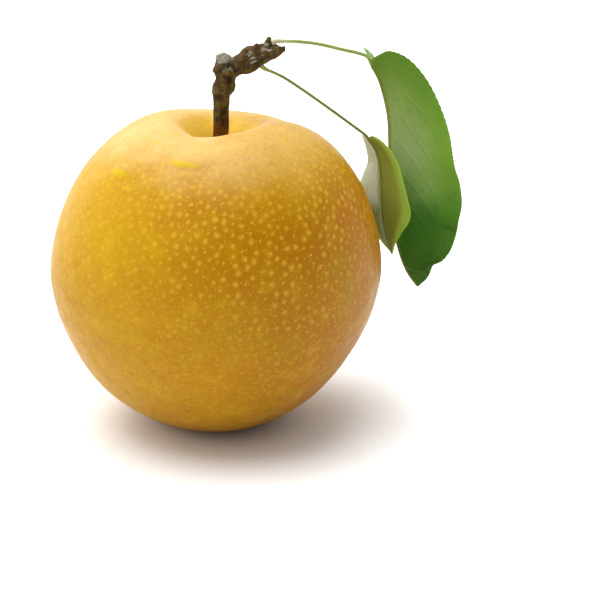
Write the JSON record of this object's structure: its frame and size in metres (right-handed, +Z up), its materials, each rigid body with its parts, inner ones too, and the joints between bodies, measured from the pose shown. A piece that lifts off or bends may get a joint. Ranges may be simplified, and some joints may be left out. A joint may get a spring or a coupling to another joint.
{
  "type": "nashi pear",
  "caption": "Round russet nashi pear standing on its small flat foot, with its stalk, a bit of woody fruiting spur and long-stalked toothed leaves.",
  "frame": {"origin": "on the resting surface, under the middle of the whole object's box; the fruit's foot is 12 mm towards -X", "axes": "+Z up, +X from the fruit towards the leaves, -Y towards the picture's viewer"},
  "size_m": [0.1134, 0.09, 0.1071],
  "materials": {
    "russet_skin": "satin golden-brown russet skin with pale lenticels",
    "stalk_brown": "smooth dark red-brown stalk",
    "spur_bark": "rough grey-brown bark",
    "large_leaf_green": "glossy green leaf",
    "small_leaf_olive": "satin olive-green leaf"
  },
  "bodies": {
    "root": {"fruit": "russet_skin", "stalk": "stalk_brown", "spur": "spur_bark", "large_leaf": "large_leaf_green", "small_leaf": "small_leaf_olive"}
  },
  "joints": []
}
